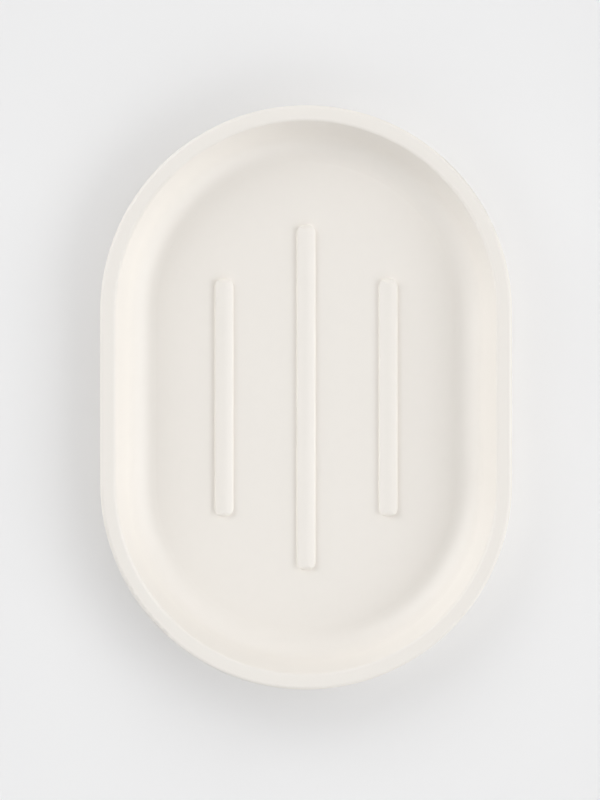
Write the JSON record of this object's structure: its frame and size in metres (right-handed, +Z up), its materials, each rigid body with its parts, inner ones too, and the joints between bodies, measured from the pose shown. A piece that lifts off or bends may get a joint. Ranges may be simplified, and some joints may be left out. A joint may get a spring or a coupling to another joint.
{
  "type": "soap dish",
  "caption": "Stadium-shaped soap dish with a coved bowl, flat rim, three raised drainage ribs, hollow underside and push-in soft feet.",
  "frame": {"origin": "on the surface that the feet stand on, under the middle of the bowl", "axes": "+X along the width, +Y along the length, the way that the picture's top points, +Z up out of the bowl"},
  "size_m": [0.0992, 0.1406, 0.0185],
  "materials": {
    "dish": "matte warm off-white with a fine moulded grain",
    "foot": "soft translucent-looking pale grey silicone, satin"
  },
  "bodies": {
    "root": {"dish_body": "dish", "foot_front_left": "foot", "foot_front_right": "foot", "foot_rear_left": "foot", "foot_rear_right": "foot"}
  },
  "joints": []
}
